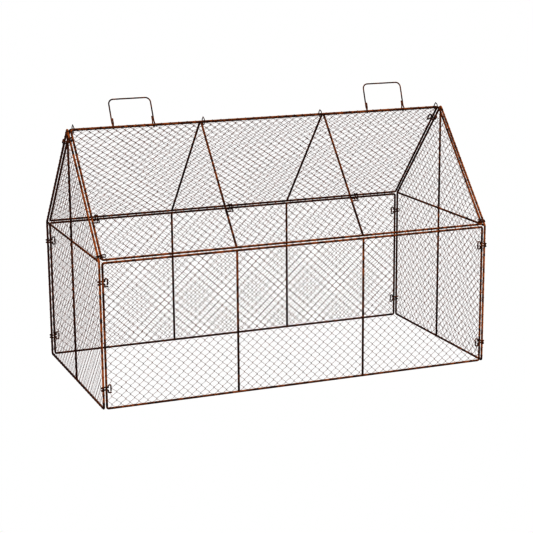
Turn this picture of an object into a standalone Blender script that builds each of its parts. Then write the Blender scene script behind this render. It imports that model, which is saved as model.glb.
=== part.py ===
"""Wire cloche: a house-shaped crop cover made of six framed nets that clip together.

Six panels stand edge to edge: two gabled ends, a front and a back wall, a fixed back roof
and a front roof that opens as a lid on rings along the ridge. Each panel is a bent rod
frame with welded bars and a diamond net laid over its outer face. Bent wire clips on the
end panels and on the back eave snap over the neighbouring rods. Two wire handles stand on
the ridge.

Axes: +X along the ridge to the right, -Y towards the front, +Z up. The origin is on the
ground under the middle. Metres.
"""
from math import atan2, ceil, cos, degrees, hypot, pi, radians, sin, sqrt, tan

import bmesh
import bpy
from mathutils import Matrix, Vector

# Panels. Lengths between rods are measured from axis to axis.
LENGTH = 1.214            # between the rods of the two end panels
WIDTH = 0.595             # between the front and the back corner rods
EAVE_HEIGHT = 0.427       # bottom rods to eave corners
RIDGE_HEIGHT = 0.7575     # bottom rods to the apex of the ends
ROD_DIAMETER = 0.006
CORNER_RADIUS = 0.0055    # centre line of a frame's bends
PANEL_PITCH = 0.009       # between the rods of neighbouring panels
RIDGE_PITCH = 0.011       # between the two rods of the ridge
RIDGE_DROP = 0.0035       # from the apex of the ends down to the ridge rods
PANEL_BAYS = 3            # bays between the bars of a wall or roof
CLEARANCE = 0.0003        # between pieces that touch

# Nets, as counts of cells along and up a panel. The strands have a square section.
NET_STRAND = 0.0012
SIDE_NET_CELLS = (11, 3)
END_NET_CELLS = (4, 3)
RAFTER_INSET = 0.008      # from a rafter to the net below it, clear of the clips

# Clips on the corners, the back eave and the apex, bent from one wire.
CLIP_WIRE = 0.0036
CLIP_LEG_GAP = 0.0078     # between the two legs that cross to the next panel
CLIP_HEIGHT = 0.0224      # between the arms of the tab
CLIP_TAB = 0.0083         # how far the tab reaches past the latched rod
CLIP_TAB_TILT = radians(12)
CLIP_WRAP = radians(175)  # turn round the rod that carries the clip
CLIP_DROP = 0.001         # how far the tab's root lies past the rod's middle
CLIP_BEND = 0.0033
LOW_CLIP_HEIGHT = 0.058   # above the bottom rods
HIGH_CLIP_DROP = 0.061    # below the eave corners
EAVE_CLIP_INSET = 0.157   # from an end's plane to the outer clip of the back eave
APEX_CLIP_DROP = 0.056    # from the apex, along the rafter

# Spring catches at the lid's lower corners.
CATCH_WIRE = 0.0024
CATCH_RISE = 0.0145       # from the eave corner, up the lid
CATCH_LOOP_WIDTH = 0.0095
CATCH_LOOP_LENGTH = 0.0115
CATCH_LOOP_TILT = radians(12)   # off the plane of the lid's rods
CATCH_GRIP = radians(15)  # past the middle of the rafter

# Rings that hinge the lid.
RING_WIRE = 0.0024
RING_RISE = 0.002         # ring's centre above the ridge rods
RING_GAP = radians(24)
RING_TAIL = 0.003
RING_END_INSET = 0.017    # from the plane of an end panel
RING_BAR_INSET = 0.009    # from a roof bar, towards the middle

# Handles on the back rod of the ridge.
HANDLE_WIRE = 0.0035
HANDLE_WIDTH = 0.128      # between the legs
HANDLE_HEIGHT = 0.086     # rod's axis to the top bar
HANDLE_BEND = 0.015
HANDLE_NECK = 0.0115      # rod's axis to where the eye closes
HANDLE_TAIL = 0.015       # end of the wire lying back along the leg
LEFT_HANDLE_INSET = 0.2015   # from the end's plane to the middle of the handle
LEFT_HANDLE_LEAN = radians(28)
RIGHT_HANDLE_INSET = 0.1925
RIGHT_HANDLE_LEAN = radians(20)

# Facets.
ROD_SIDES = 8
WIRE_SIDES = 6
ROD_BEND_STEPS = 4
WRAP_STEP = radians(40)
EYE_STEP = radians(30)
RING_STEP = radians(24)
SHARP_TURN = radians(50)

# Worked out from the sizes above.
ROD_RADIUS = ROD_DIAMETER / 2
ROD_FLAT = ROD_RADIUS * cos(pi / ROD_SIDES)          # axis to a facet
BASE = ROD_FLAT                                      # bottom rods' axis above the ground
SLOPE = atan2(RIDGE_HEIGHT - EAVE_HEIGHT, WIDTH / 2)   # rafters of the ends
PANEL_LENGTH = LENGTH - 2 * PANEL_PITCH              # walls and roofs, axis to axis
WALL_HEIGHT = EAVE_HEIGHT - PANEL_PITCH / 2
ROOF_RISE = RIDGE_HEIGHT - RIDGE_DROP - EAVE_HEIGHT
ROOF_SPAN = WIDTH / 2 - RIDGE_PITCH / 2
ROOF_SLOPE = atan2(ROOF_RISE, ROOF_SPAN)
ROOF_START = (sqrt((PANEL_PITCH * sin(ROOF_SLOPE)) ** 2 + 3 * PANEL_PITCH ** 2)
              - PANEL_PITCH * sin(ROOF_SLOPE)) / 2   # eave corner to the roof's lower rod
ROOF_HEIGHT = hypot(ROOF_RISE, ROOF_SPAN) - ROOF_START   # along the slope
RIDGE_ROD_Z = BASE + RIDGE_HEIGHT - RIDGE_DROP
NET_OFFSET = ROD_FLAT + CLEARANCE + NET_STRAND / 2   # net's middle above the rods' axes
CLIP_RADIUS = ROD_RADIUS + CLEARANCE + CLIP_WIRE / 2
CATCH_RADIUS = ROD_RADIUS + CLEARANCE + CATCH_WIRE / 2
BAR_X = PANEL_LENGTH / 2 - PANEL_LENGTH / PANEL_BAYS

RUST_ROD = (0.105, 0.042, 0.022)
RUST_WIRE = (0.075, 0.040, 0.028)
RUST_NET = (0.160, 0.105, 0.080)
RUST_HANDLE = (0.090, 0.050, 0.032)


def clear_scene():
    """Remove every object from the scene."""
    for item in list(bpy.data.objects):
        bpy.data.objects.remove(item, do_unlink=True)


def new_collection(name):
    """Add a collection to the scene."""
    collection = bpy.data.collections.new(name)
    bpy.context.scene.collection.children.link(collection)
    return collection


def rust(name, colour, roughness=0.62, metallic=0.55):
    """Make the material of one piece."""
    material = bpy.data.materials.new(name + "_rust")
    material.use_nodes = True
    shader = material.node_tree.nodes["Principled BSDF"]
    shader.inputs["Base Color"].default_value = (*colour, 1.0)
    shader.inputs["Roughness"].default_value = roughness
    shader.inputs["Metallic"].default_value = metallic
    return material


def arc(centre, radius, start, end, step, first, second):
    """Points along a circular arc in the plane of the unit vectors first and second."""
    count = max(1, ceil(abs(end - start) / step - 0.01))
    points = []
    for index in range(count + 1):
        angle = start + (end - start) * index / count
        points.append(centre + radius * (cos(angle) * first + sin(angle) * second))
    return points


def round_corners(points, radius, steps, closed=False):
    """Replace each sharp corner of a path with an arc of the given radius."""
    result = []
    count = len(points)
    for index, corner in enumerate(points):
        if not closed and index in (0, count - 1):
            result.append(corner)
            continue
        before = points[index - 1] - corner
        after = points[(index + 1) % count] - corner
        turn = pi - before.angle(after)
        if turn < SHARP_TURN and not closed:
            result.append(corner)
            continue
        reach = radius * tan(turn / 2)
        limit = 0.48 * min(before.length, after.length)
        bend = radius if reach <= limit else limit / tan(turn / 2)
        reach = min(reach, limit)
        before.normalize()
        after.normalize()
        bisector = (before + after).normalized()
        centre = corner + bisector * bend / cos(turn / 2)
        first = (corner + before * reach - centre).normalized()
        result += arc(centre, bend, 0.0, turn, turn / steps, first, -before)
    return result


def tube(name, points, diameter, sides, colour, collection, closed=False, flat=False):
    """Sweep a round wire along a path. A flat one keeps facets square to its own plane."""
    curve = bpy.data.curves.new(name, "CURVE")
    curve.dimensions = "3D"
    curve.bevel_depth = diameter / 2
    curve.bevel_resolution = (sides - 4) // 2
    curve.use_fill_caps = not closed
    curve.twist_mode = "Z_UP" if flat else "MINIMUM"
    spline = curve.splines.new("POLY")
    spline.points.add(len(points) - 1)
    for point, place in zip(spline.points, points):
        point.co = (*place, 1.0)
        point.tilt = pi / sides if flat else 0.0
    spline.use_cyclic_u = closed
    spline.use_smooth = True
    item = bpy.data.objects.new(name, curve)
    item.data.materials.append(rust(name, colour))
    collection.objects.link(item)
    return item


def place(item, origin, x_axis, y_axis):
    """Stand an object on an origin with the given local X and Y directions."""
    x_axis = Vector(x_axis).normalized()
    y_axis = Vector(y_axis).normalized()
    z_axis = x_axis.cross(y_axis)
    turn = Matrix((x_axis, y_axis, z_axis)).transposed().to_4x4()
    item.matrix_world = Matrix.Translation(origin) @ turn
    return item


def panel_empty(name, origin, x_axis, y_axis, collection):
    """Make the empty that carries a panel: X along it, Y up it and Z out of its face."""
    empty = bpy.data.objects.new(name, None)
    empty.empty_display_size = 0.05
    collection.objects.link(empty)
    return place(empty, origin, x_axis, y_axis)


def make_frame(name, corners, parent, collection):
    """Bend a closed rod frame through corners given in the panel's plane."""
    path = [Vector((x, y, 0.0)) for x, y in corners]
    path = round_corners(path, CORNER_RADIUS, ROD_BEND_STEPS, closed=True)
    frame = tube(name, path, ROD_DIAMETER, ROD_SIDES, RUST_ROD, collection, closed=True, flat=True)
    frame.parent = parent
    return frame


def make_bar(name, start, end, parent, collection):
    """Lay a straight bar between two points of the panel's plane."""
    path = [Vector((*start, 0.0)), Vector((*end, 0.0))]
    bar = tube(name, path, ROD_DIAMETER, ROD_SIDES, RUST_ROD, collection, flat=True)
    bar.parent = parent
    return bar


def curve_to_mesh(item):
    """Turn a capped curve object into a mesh object with welded caps."""
    bpy.context.view_layer.update()
    graph = bpy.context.evaluated_depsgraph_get()
    mesh = bpy.data.meshes.new_from_object(item.evaluated_get(graph))
    work = bmesh.new()
    work.from_mesh(mesh)
    bmesh.ops.remove_doubles(work, verts=work.verts, dist=1e-6)
    work.to_mesh(mesh)
    work.free()
    name = item.name
    collection = item.users_collection[0]
    solid = bpy.data.objects.new(name + "_mesh", mesh)
    solid.matrix_world = item.matrix_world.copy()
    collection.objects.link(solid)
    bpy.data.objects.remove(item, do_unlink=True)
    solid.name = name
    return solid


def cope(bar, frame, cutters):
    """Cut a bar's ends to saddles that fit round the frame's rod with a small gap."""
    data = frame.data.copy()
    data.bevel_depth = ROD_RADIUS + CLEARANCE
    cutter = bpy.data.objects.new(bar.name + "_cutter", data)
    cutters.objects.link(cutter)
    cutter.matrix_world = frame.matrix_world
    cutter = curve_to_mesh(cutter)
    cutter.hide_render = True
    cutter.display_type = "WIRE"
    solid = curve_to_mesh(bar)
    cut = solid.modifiers.new("cope", "BOOLEAN")
    cut.operation = "DIFFERENCE"
    cut.solver = "EXACT"
    cut.object = cutter
    return solid


def diamond_sheet(columns, rows, place_point):
    """A flat sheet of diamonds whose tips touch the border between its grid's corners."""
    work = bmesh.new()
    bmesh.ops.create_grid(work, x_segments=columns, y_segments=rows, size=0.5)
    square_edges = list(work.edges)
    bmesh.ops.poke(work, faces=list(work.faces))
    inner = [edge for edge in square_edges if edge.is_valid and not edge.is_boundary]
    bmesh.ops.dissolve_edges(work, edges=inner, use_verts=False)
    halves = [face for face in work.faces if len(face.verts) == 3]
    bmesh.ops.delete(work, geom=halves, context="FACES")
    for vert in work.verts:
        across = (vert.co.x + 0.5) * columns
        up = (vert.co.y + 0.5) * rows
        vert.co = place_point(across, up)
    return work


def finish_net(name, work, parent, collection):
    """Give a sheet's edges the thickness of the net's strands and seat it on the rods."""
    mesh = bpy.data.meshes.new(name)
    bmesh.ops.recalc_face_normals(work, faces=work.faces)
    work.to_mesh(mesh)
    work.free()
    net = bpy.data.objects.new(name, mesh)
    net.data.materials.append(rust(name, RUST_NET))
    collection.objects.link(net)
    net.parent = parent
    strands = net.modifiers.new("strands", "WIREFRAME")
    strands.thickness = NET_STRAND
    strands.offset = 0.0
    strands.use_even_offset = True
    strands.use_relative_offset = False
    strands.use_boundary = True
    strands.use_replace = True
    return net


def make_side_net(name, length, low, high, parent, collection):
    """Net of a wall or roof, between the axes of its frame's rods."""
    columns, rows = SIDE_NET_CELLS

    def place_point(across, up):
        x = (across / columns - 0.5) * length
        y = low + (high - low) * up / rows
        return Vector((x, y, NET_OFFSET))

    return finish_net(name, diamond_sheet(columns, rows, place_point), parent, collection)


def make_end_net(name, parent, collection):
    """Net of an end: square cells up to the eave, then cells that follow the rafters."""
    columns, low_rows = END_NET_CELLS
    gable_rows = ceil(columns / 2)
    eave = EAVE_HEIGHT - RAFTER_INSET / cos(SLOPE)
    gable_cell = (RIDGE_HEIGHT - EAVE_HEIGHT) / (columns / 2)

    def place_point(across, up):
        x = (across / columns - 0.5) * WIDTH
        if up <= low_rows:
            return Vector((x, eave * up / low_rows, NET_OFFSET))
        return Vector((x, eave + (up - low_rows) * gable_cell, NET_OFFSET))

    work = diamond_sheet(columns, low_rows + gable_rows, place_point)
    outside = []
    for face in work.faces:
        middle = face.calc_center_median()
        roof_line = eave + (WIDTH / 2 - abs(middle.x)) * tan(SLOPE)
        if middle.y > roof_line - NET_STRAND:
            outside.append(face)
    bmesh.ops.delete(work, geom=outside, context="FACES")
    return finish_net(name, work, parent, collection)


def make_side_panel(name, origin, x_axis, y_axis, low, high, collection):
    """Wall or roof: a rectangular frame, a bar at each bay and the net."""
    empty = panel_empty(name, origin, x_axis, y_axis, collection)
    half = PANEL_LENGTH / 2
    corners = [(-half, low), (half, low), (half, high), (-half, high)]
    make_frame(name + "_frame", corners, empty, collection)
    seat = ROD_FLAT + CLEARANCE
    facing = Vector(x_axis).x
    for index in range(1, PANEL_BAYS):
        x = index * PANEL_LENGTH / PANEL_BAYS - half
        number = index if facing > 0 else PANEL_BAYS - index
        make_bar(f"{name}_bar_{number}", (x, low + seat), (x, high - seat), empty, collection)
    make_side_net(name + "_net", PANEL_LENGTH, low, high, empty, collection)
    return empty


def make_end_panel(name, side, collection, cutters):
    """Gabled end: a five-sided frame, a crossbar at the eave, a bar in two parts and the net."""
    origin = (side * LENGTH / 2, 0.0, BASE)
    empty = panel_empty(name, origin, (0, side, 0), (0, 0, 1), collection)
    half = WIDTH / 2
    corners = [(-half, 0), (half, 0), (half, EAVE_HEIGHT), (0, RIDGE_HEIGHT), (-half, EAVE_HEIGHT)]
    frame = make_frame(name + "_frame", corners, empty, collection)
    crossbar = make_bar(name + "_crossbar", (-half, EAVE_HEIGHT), (half, EAVE_HEIGHT), empty, collection)
    bpy.context.view_layer.update()
    cope(crossbar, frame, cutters)
    seat = ROD_FLAT + CLEARANCE
    apex_seat = (ROD_RADIUS + CLEARANCE + ROD_RADIUS * sin(SLOPE)) / cos(SLOPE)
    make_bar(name + "_lower_bar", (0, seat), (0, EAVE_HEIGHT - seat), empty, collection)
    make_bar(name + "_upper_bar", (0, EAVE_HEIGHT + seat), (0, RIDGE_HEIGHT - apex_seat), empty, collection)
    make_end_net(name + "_net", empty, collection)
    return empty


def clip_leg(side, pitch):
    """One leg of a clip, from its wrap round the carrying rod to the end of the tab's arm.

    The carrying rod runs along Z through the origin, the latched rod at the pitch on +X.
    """
    x_dir, y_dir = Vector((1, 0, 0)), Vector((0, 1, 0))
    leg = Vector((0, 0, side * CLIP_LEG_GAP / 2))
    arm_z = side * CLIP_HEIGHT / 2
    latched = Vector((pitch, 0, 0)) + leg
    wrap_end = radians(-270)
    points = arc(leg, CLIP_RADIUS, wrap_end + CLIP_WRAP, wrap_end, WRAP_STEP, x_dir, y_dir)
    points += arc(latched, CLIP_RADIUS, radians(90), 0.0, radians(45), x_dir, y_dir)
    root_x = pitch + CLIP_RADIUS
    points.append(Vector((root_x, -CLIP_DROP, leg.z)))
    points.append(Vector((root_x, -CLIP_DROP, arm_z)))
    tip = Vector((root_x + CLIP_TAB, CLIP_TAB * tan(CLIP_TAB_TILT) - CLIP_DROP, arm_z))
    points.append(tip)
    return points


def make_clip(name, origin, latched, tab_side, collection):
    """Snap clip: hairpin round its own rod, two legs over the next rod and a finger tab."""
    across = Vector(latched) - Vector(origin)
    upper, lower = clip_leg(1, across.length), clip_leg(-1, across.length)
    end = Vector((upper[-1].x, upper[-1].y, lower[-1].z + CLIP_WIRE + 2 * CLEARANCE))
    lower[-1].x += CLIP_WIRE / 2
    path = list(reversed(lower)) + upper + [end]
    path = round_corners(path, CLIP_BEND, 2)
    clip = tube(name, path, CLIP_WIRE, WIRE_SIDES, RUST_WIRE, collection)
    return place(clip, origin, across, tab_side)


def catch_leg(side, pitch):
    """One leg of a lid catch: loop arm, one turn round the lid's rod, hook over the rafter."""
    x_dir, y_dir = Vector((1, 0, 0)), Vector((0, 1, 0))
    arm_z = side * CATCH_LOOP_WIDTH / 2
    coil_pitch = -side * (CATCH_WIRE + CLEARANCE)
    start = radians(90) + CATCH_LOOP_TILT
    turn = arc(Vector((0, 0, arm_z)), CATCH_RADIUS, start, radians(-270), WRAP_STEP, x_dir, y_dir)
    away = Vector((-cos(CATCH_LOOP_TILT), sin(CATCH_LOOP_TILT), 0))
    points = [turn[0] + CATCH_LOOP_LENGTH * away]
    for index, point in enumerate(turn):
        point.z += coil_pitch * index / (len(turn) - 1)
    points += turn
    rafter = Vector((pitch, 0, arm_z + coil_pitch))
    points += arc(rafter, CATCH_RADIUS, radians(90), -CATCH_GRIP, WRAP_STEP, x_dir, y_dir)
    return points


def make_catch(name, origin, rafter, outward, collection):
    """Spring catch wound on the lid's side rod, with a finger loop lying on the lid."""
    across = Vector(rafter) - Vector(origin)
    path = list(reversed(catch_leg(-1, across.length))) + catch_leg(1, across.length)
    path = round_corners(path, CATCH_LOOP_WIDTH / 2.2, 3)
    catch = tube(name, path, CATCH_WIRE, WIRE_SIDES, RUST_WIRE, collection)
    return place(catch, origin, across, outward)


def make_ring(name, x, collection):
    """Open ring round both ridge rods, with one end turned up."""
    y_dir, z_dir = Vector((0, 1, 0)), Vector((0, 0, 1))
    wire = ROD_RADIUS + CLEARANCE + RING_WIRE / 2
    radius = hypot(RIDGE_PITCH / 2, RING_RISE) + wire
    start = radians(90) + RING_GAP / 2
    centre = Vector((0, 0, RING_RISE))
    points = arc(centre, radius, start, start + 2 * pi - RING_GAP, RING_STEP, y_dir, z_dir)
    points.append(points[-1] + z_dir * RING_TAIL)
    ring = tube(name, points, RING_WIRE, WIRE_SIDES, RUST_WIRE, collection)
    ring.location = (x, 0.0, RIDGE_ROD_Z)
    return ring


def handle_foot(side):
    """Eye of a handle, from the neck round the rod and back up along the leg."""
    y_dir, z_dir = Vector((0, 1, 0)), Vector((0, 0, 1))
    radius = ROD_RADIUS + CLEARANCE + HANDLE_WIRE / 2
    tangent = atan2(radius, sqrt(HANDLE_NECK ** 2 - radius ** 2))
    shift = HANDLE_WIRE + CLEARANCE
    eye = arc(Vector(), radius, pi - tangent, 2 * pi + tangent, EYE_STEP, y_dir, z_dir)
    for index, point in enumerate(eye):
        point.x -= side * shift * index / (len(eye) - 1)
    neck = Vector((0, 0, HANDLE_NECK))
    tail_neck = neck - Vector((side * shift, 0, 0))
    points = [neck] + eye + [tail_neck, tail_neck + z_dir * HANDLE_TAIL]
    for point in points:
        point.x += side * HANDLE_WIDTH / 2
    return points


def make_handle(name, x, lean, collection):
    """Bail handle: one wire with an eye round the ridge's back rod at each foot."""
    left, right = handle_foot(-1), handle_foot(1)
    top = [Vector((side * HANDLE_WIDTH / 2, 0, HANDLE_HEIGHT)) for side in (-1, 1)]
    grip = round_corners([left[0], *top, right[0]], HANDLE_BEND, 5)
    path = list(reversed(left))[:-1] + grip + right[1:]
    handle = tube(name, path, HANDLE_WIRE, ROD_SIDES, RUST_HANDLE, collection)
    handle.location = (x, RIDGE_PITCH / 2, RIDGE_ROD_Z)
    handle.rotation_euler = (-lean, 0, 0)
    return handle


def foot_on(line, direction, point):
    """Foot of the perpendicular from a point to a line."""
    return line + (point - line).project(direction)


def add_corner_clips(collection):
    """Two clips at each corner, carried by the end panels and closed over the walls' rods."""
    heights = {"low": BASE + LOW_CLIP_HEIGHT, "high": BASE + EAVE_HEIGHT - HIGH_CLIP_DROP}
    for end, side in (("left", -1), ("right", 1)):
        for wall, face in (("front", -1), ("back", 1)):
            for level, height in heights.items():
                origin = (side * LENGTH / 2, face * WIDTH / 2, height)
                latched = (side * PANEL_LENGTH / 2, face * WIDTH / 2, height)
                name = f"clip_{wall}_{end}_{level}"
                make_clip(name, origin, latched, (0, -face, 0), collection)


def add_eave_clips(collection):
    """Clips carried by the back roof and closed over the back wall's top rod."""
    y = ROOF_START * cos(ROOF_SLOPE)
    z = ROOF_START * sin(ROOF_SLOPE)
    for name, side in (("left", -1), ("middle", 0), ("right", 1)):
        x = side * (LENGTH / 2 - EAVE_CLIP_INSET)
        roof_rod = Vector((x, WIDTH / 2 - y, BASE + EAVE_HEIGHT + z))
        wall_rod = Vector((x, WIDTH / 2, BASE + WALL_HEIGHT))
        down = wall_rod - roof_rod
        make_clip(f"clip_eave_{name}", roof_rod, wall_rod, (0, down.z, -down.y), collection)


def add_apex_clips(collection):
    """Clips carried by the rafters near the apex and closed over the back roof's side rods."""
    rafter = Vector((0, cos(SLOPE), -sin(SLOPE)))
    roof = Vector((0, cos(ROOF_SLOPE), -sin(ROOF_SLOPE)))
    for name, side in (("left", -1), ("right", 1)):
        apex = Vector((side * LENGTH / 2, 0, BASE + RIDGE_HEIGHT))
        ridge = Vector((side * PANEL_LENGTH / 2, RIDGE_PITCH / 2, RIDGE_ROD_Z))
        origin = apex + rafter * APEX_CLIP_DROP
        latched = foot_on(ridge, roof, origin)
        under = side * (latched - origin).cross(rafter)
        make_clip(f"clip_apex_{name}", origin, latched, under, collection)


def add_lid_catches(collection):
    """A catch at each lower corner of the lid, hooked over the rafter beside it."""
    rafter = Vector((0, cos(SLOPE), sin(SLOPE)))
    lid = Vector((0, cos(ROOF_SLOPE), sin(ROOF_SLOPE)))
    for name, side in (("left", -1), ("right", 1)):
        corner = Vector((side * LENGTH / 2, -WIDTH / 2, BASE + EAVE_HEIGHT))
        lid_corner = corner - Vector((side * PANEL_PITCH, 0, 0))
        origin = lid_corner + lid * CATCH_RISE
        hooked = foot_on(corner, rafter, origin)
        outward = side * (hooked - origin).cross(lid)
        make_catch(f"lid_catch_{name}", origin, hooked, outward, collection)


def add_ridge_fittings(collection):
    """Four hinge rings and two handles along the ridge."""
    near_end = LENGTH / 2 - RING_END_INSET
    near_bar = BAR_X - RING_BAR_INSET
    for number, x in enumerate((-near_end, -near_bar, near_bar, near_end), 1):
        make_ring(f"ridge_ring_{number}", x, collection)
    make_handle("handle_left", LEFT_HANDLE_INSET - LENGTH / 2, LEFT_HANDLE_LEAN, collection)
    make_handle("handle_right", LENGTH / 2 - RIGHT_HANDLE_INSET, RIGHT_HANDLE_LEAN, collection)


def build():
    """Build the whole cloche."""
    clear_scene()
    cloche = new_collection("wire_cloche")
    cutters = new_collection("cutters")
    make_end_panel("left_end", -1, cloche, cutters)
    make_end_panel("right_end", 1, cloche, cutters)
    front = (0, -WIDTH / 2, BASE)
    back = (0, WIDTH / 2, BASE)
    make_side_panel("front_wall", front, (1, 0, 0), (0, 0, 1), 0.0, WALL_HEIGHT, cloche)
    make_side_panel("back_wall", back, (-1, 0, 0), (0, 0, 1), 0.0, WALL_HEIGHT, cloche)
    lid_hinge = (0, -RIDGE_PITCH / 2, RIDGE_ROD_Z)
    roof_top = (0, RIDGE_PITCH / 2, RIDGE_ROD_Z)
    up_front = (0, cos(ROOF_SLOPE), sin(ROOF_SLOPE))
    up_back = (0, -cos(ROOF_SLOPE), sin(ROOF_SLOPE))
    make_side_panel("lid", lid_hinge, (1, 0, 0), up_front, -ROOF_HEIGHT, 0.0, cloche)
    make_side_panel("back_roof", roof_top, (-1, 0, 0), up_back, -ROOF_HEIGHT, 0.0, cloche)
    add_ridge_fittings(cloche)
    add_corner_clips(cloche)
    add_eave_clips(cloche)
    add_apex_clips(cloche)
    add_lid_catches(cloche)


build()
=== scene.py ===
"""Dresses the wire cloche: round rusted rods, chain-link nets, clips, welds, light and camera.

Rods and wires follow the paths of the model's solids. Each panel's net is woven from single
wires: every wire zigzags up the panel, hooks into its neighbours at each bend and turns round
the frame's rods where it meets them. +X runs along the ridge, -Y is the front. Metres.
"""
from math import atan2, ceil, cos, hypot, pi, radians, sin, sqrt, tan

import bmesh
import bpy
from mathutils import Matrix, Vector, noise


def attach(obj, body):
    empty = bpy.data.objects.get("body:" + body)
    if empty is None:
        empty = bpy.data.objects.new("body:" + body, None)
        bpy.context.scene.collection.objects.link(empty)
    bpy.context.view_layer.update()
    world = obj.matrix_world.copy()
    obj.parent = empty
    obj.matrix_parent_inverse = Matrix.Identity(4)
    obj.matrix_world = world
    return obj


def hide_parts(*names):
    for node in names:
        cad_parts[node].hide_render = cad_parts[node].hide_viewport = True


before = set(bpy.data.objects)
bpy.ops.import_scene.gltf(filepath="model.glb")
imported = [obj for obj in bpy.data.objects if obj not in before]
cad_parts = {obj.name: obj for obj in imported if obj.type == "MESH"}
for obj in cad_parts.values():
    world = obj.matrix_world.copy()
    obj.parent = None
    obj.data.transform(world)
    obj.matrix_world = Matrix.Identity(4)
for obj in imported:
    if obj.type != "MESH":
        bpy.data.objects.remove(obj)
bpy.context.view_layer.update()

# Sizes of the frame. Lengths between rods are measured from axis to axis.
LENGTH = 1.214            # between the rods of the two end panels
WIDTH = 0.595             # between the front and the back corner rods
EAVE_HEIGHT = 0.427       # bottom rods to eave corners
RIDGE_HEIGHT = 0.7575     # bottom rods to the apex of the ends
ROD_DIAMETER = 0.006
CORNER_RADIUS = 0.0055    # centre line of a frame's bends
PANEL_PITCH = 0.009       # between the rods of neighbouring panels
RIDGE_PITCH = 0.011       # between the two rods of the ridge
RIDGE_DROP = 0.0035       # from the apex of the ends down to the ridge rods
PANEL_BAYS = 3            # bays between the bars of a wall or roof
CLEARANCE = 0.0003        # between pieces that touch

# Clips on the corners, the back eave and the apex.
CLIP_WIRE = 0.0036
CLIP_LEG_GAP = 0.0078     # between the two legs that cross to the next panel
CLIP_HEIGHT = 0.0224      # between the arms of the tab
CLIP_TAB = 0.0083         # how far the tab reaches past the latched rod
CLIP_TAB_TILT = radians(12)
CLIP_WRAP = radians(175)  # turn round the rod that carries the clip
CLIP_DROP = 0.001         # how far the tab's root lies past the rod's middle
CLIP_BEND = 0.0033
LOW_CLIP_HEIGHT = 0.058   # above the bottom rods
HIGH_CLIP_DROP = 0.061    # below the eave corners
EAVE_CLIP_SPREAD = 0.900  # between the outer clips of the back eave
APEX_CLIP_DROP = 0.056    # from the apex, along the rafter

# Spring catches at the lid's lower corners.
CATCH_WIRE = 0.0024
CATCH_RISE = 0.0145       # from the eave corner, up the lid
CATCH_LOOP_WIDTH = 0.0095
CATCH_LOOP_LENGTH = 0.0115
CATCH_LOOP_TILT = radians(12)   # off the plane of the lid's rods
CATCH_GRIP = radians(15)  # past the middle of the rafter
CATCH_BEND = CATCH_LOOP_WIDTH / 2.2

# Rings that hinge the lid.
RING_WIRE = 0.0024
RING_RISE = 0.002         # ring's centre above the ridge rods
RING_GAP = radians(24)
RING_TAIL = 0.003
RING_END_INSET = 0.017    # from the plane of an end panel
RING_BAR_INSET = 0.009    # from a roof bar, towards the middle

# Handles on the back rod of the ridge.
HANDLE_WIRE = 0.0035
HANDLE_WIDTH = 0.128      # between the legs
HANDLE_HEIGHT = 0.086     # rod's axis to the top bar
HANDLE_BEND = 0.015
HANDLE_NECK = 0.0115      # rod's axis to where the eye closes
HANDLE_TAIL = 0.015       # end of the wire lying back along the leg
LEFT_HANDLE = (-0.4055, radians(28))    # place along the ridge and lean to the back
RIGHT_HANDLE = (0.4145, radians(20))

# Worked out from the sizes above.
SOLID_SIDES = 8           # facets round the model's own rods
ROD_RADIUS = ROD_DIAMETER / 2
BASE = ROD_RADIUS * cos(pi / SOLID_SIDES)            # bottom rods' axis above the ground
SLOPE = atan2(RIDGE_HEIGHT - EAVE_HEIGHT, WIDTH / 2)   # rafters of the ends
RAFTER_LENGTH = hypot(RIDGE_HEIGHT - EAVE_HEIGHT, WIDTH / 2)
PANEL_LENGTH = LENGTH - 2 * PANEL_PITCH              # walls and roofs, axis to axis
WALL_HEIGHT = EAVE_HEIGHT - PANEL_PITCH / 2
ROOF_RISE = RIDGE_HEIGHT - RIDGE_DROP - EAVE_HEIGHT
ROOF_SPAN = WIDTH / 2 - RIDGE_PITCH / 2
ROOF_SLOPE = atan2(ROOF_RISE, ROOF_SPAN)
ROOF_START = (sqrt((PANEL_PITCH * sin(ROOF_SLOPE)) ** 2 + 3 * PANEL_PITCH ** 2)
              - PANEL_PITCH * sin(ROOF_SLOPE)) / 2   # eave corner to the roof's lower rod
ROOF_HEIGHT = hypot(ROOF_RISE, ROOF_SPAN) - ROOF_START   # along the slope
RIDGE_ROD_Z = BASE + RIDGE_HEIGHT - RIDGE_DROP
CLIP_RADIUS = ROD_RADIUS + CLEARANCE + CLIP_WIRE / 2
CATCH_RADIUS = ROD_RADIUS + CLEARANCE + CATCH_WIRE / 2
BAR_X = PANEL_LENGTH / 2 - PANEL_LENGTH / PANEL_BAYS

# Roundness. Rods rest on their flats on the ground, as the solids do.
ROUND_SIDES = 12
ROUND_RADIUS = BASE / cos(pi / ROUND_SIDES)
WIRE_SIDES = 8
ROD_BEND_STEPS = 8
CLIP_BEND_STEPS = 5
CATCH_BEND_STEPS = 6
HANDLE_BEND_STEPS = 10
WRAP_STEP = radians(20)
LATCH_STEP = radians(22.5)
EYE_STEP = radians(15)
RING_STEP = radians(12)
SHARP_TURN = radians(50)
STEP_SLACK = 0.01         # share of a step that rounding may add without adding a point
ARC_SHARE = 0.48          # most of a stretch that the arc at one of its ends may take

# Bars and the beads of weld at their ends.
BAR_INSET = 0.0005        # from the rods' axes to a bar's ends
APEX_INSET = 0.002        # from the apex to the end of an end's upper bar
WELD_INSET = 0.0026
WELD_SIZE = (0.0040, 0.0035, 0.0034)   # half sizes along the bar, across it and out
WELD_LUMP = 0.25          # how far a bead strays from round, as a share of its size
WELD_LUMP_SCALE = 1.3     # lumps along a bead's half size
WELD_VARIETY = 90.0       # how fast the lumps change from bead to bead

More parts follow.
